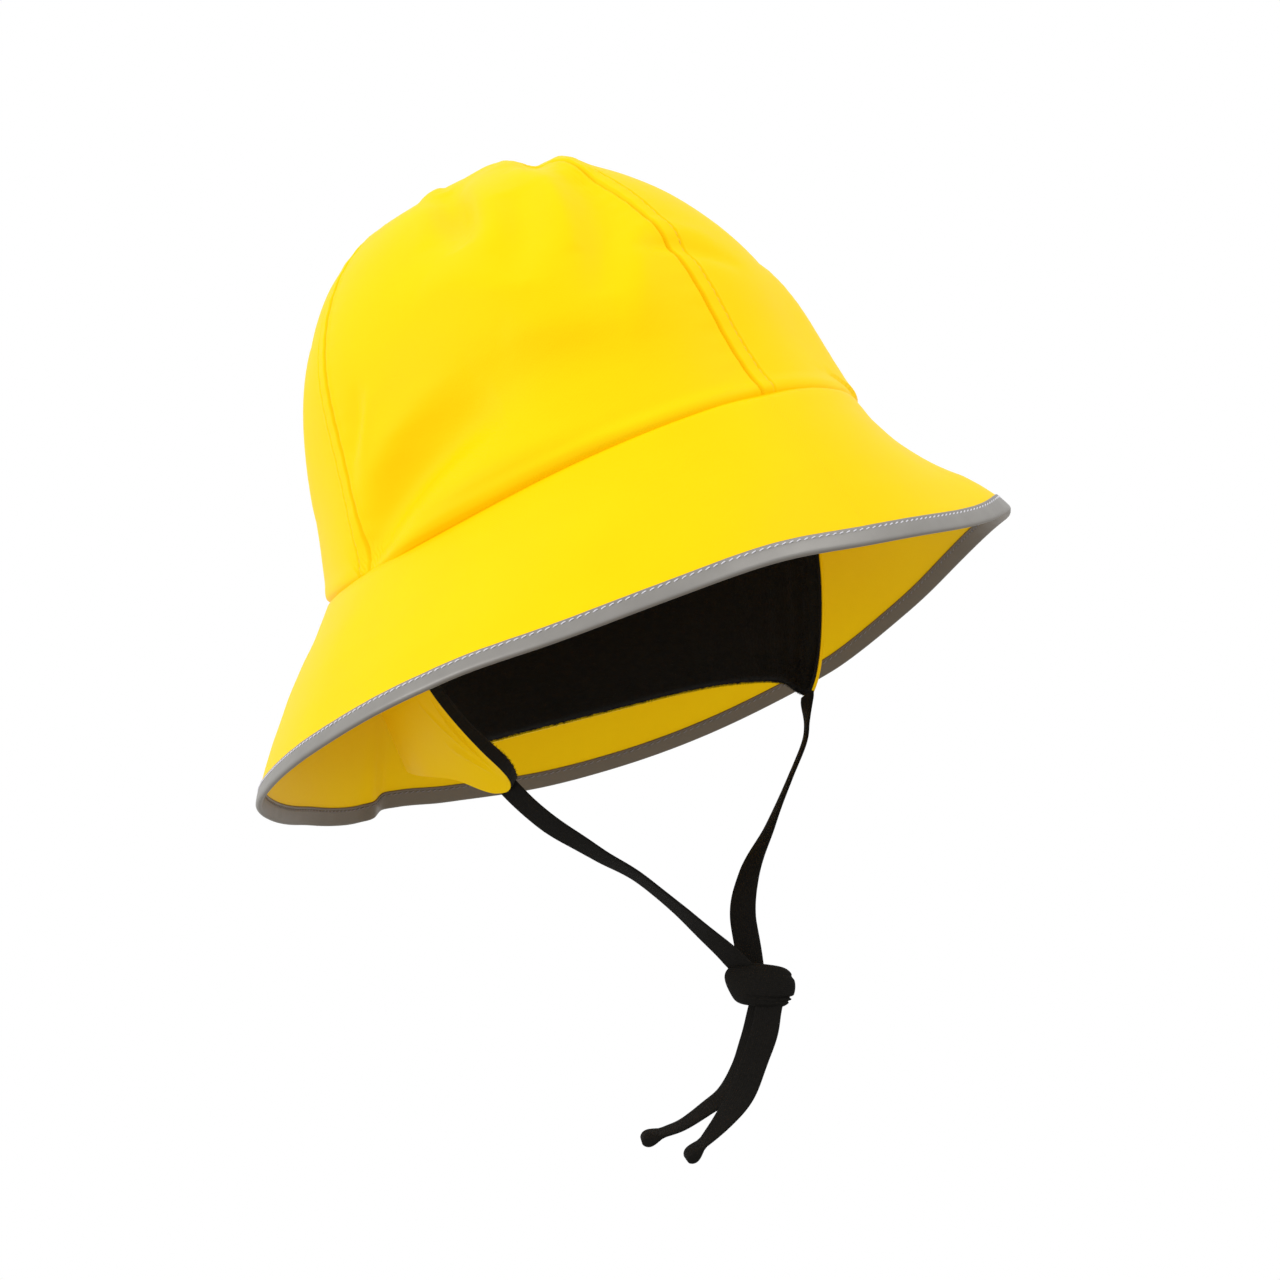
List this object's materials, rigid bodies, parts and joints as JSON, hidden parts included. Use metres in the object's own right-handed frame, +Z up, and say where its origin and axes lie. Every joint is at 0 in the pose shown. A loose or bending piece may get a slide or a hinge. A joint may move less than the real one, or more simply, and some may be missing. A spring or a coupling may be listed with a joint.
{
  "type": "sou'wester hat",
  "caption": "Rain hat of coated cloth with a round panelled crown, a flared brim with a bound edge, a fleece-lined ear and neck flap and knotted chin ties.",
  "frame": {"origin": "centre of the head opening, at the height of the seam between crown and brim", "axes": "+Z up through the crown, -Y to the front of the hat, +X to the wearer's left"},
  "size_m": [0.2724, 0.281, 0.3238],
  "materials": {
    "yellow_coated_cloth": "soft sheen of a coated rain cloth",
    "grey_reflective_tape": "satin reflective tape",
    "black_fleece": "matt napped fleece",
    "black_elastic": "matt flat knitted elastic"
  },
  "bodies": {
    "root": {"crown_panel_front_left": "yellow_coated_cloth", "crown_panel_back_left": "yellow_coated_cloth", "crown_panel_back_right": "yellow_coated_cloth", "crown_panel_front_right": "yellow_coated_cloth", "brim": "yellow_coated_cloth", "brim_binding": "grey_reflective_tape", "flap_shell": "yellow_coated_cloth", "flap_lining": "black_fleece", "tie_right": "black_elastic", "tie_left": "black_elastic", "tail_right": "black_elastic", "tail_left": "black_elastic", "tail_end_right": "black_elastic", "tail_end_left": "black_elastic", "chin_knot": "black_elastic"}
  },
  "joints": []
}
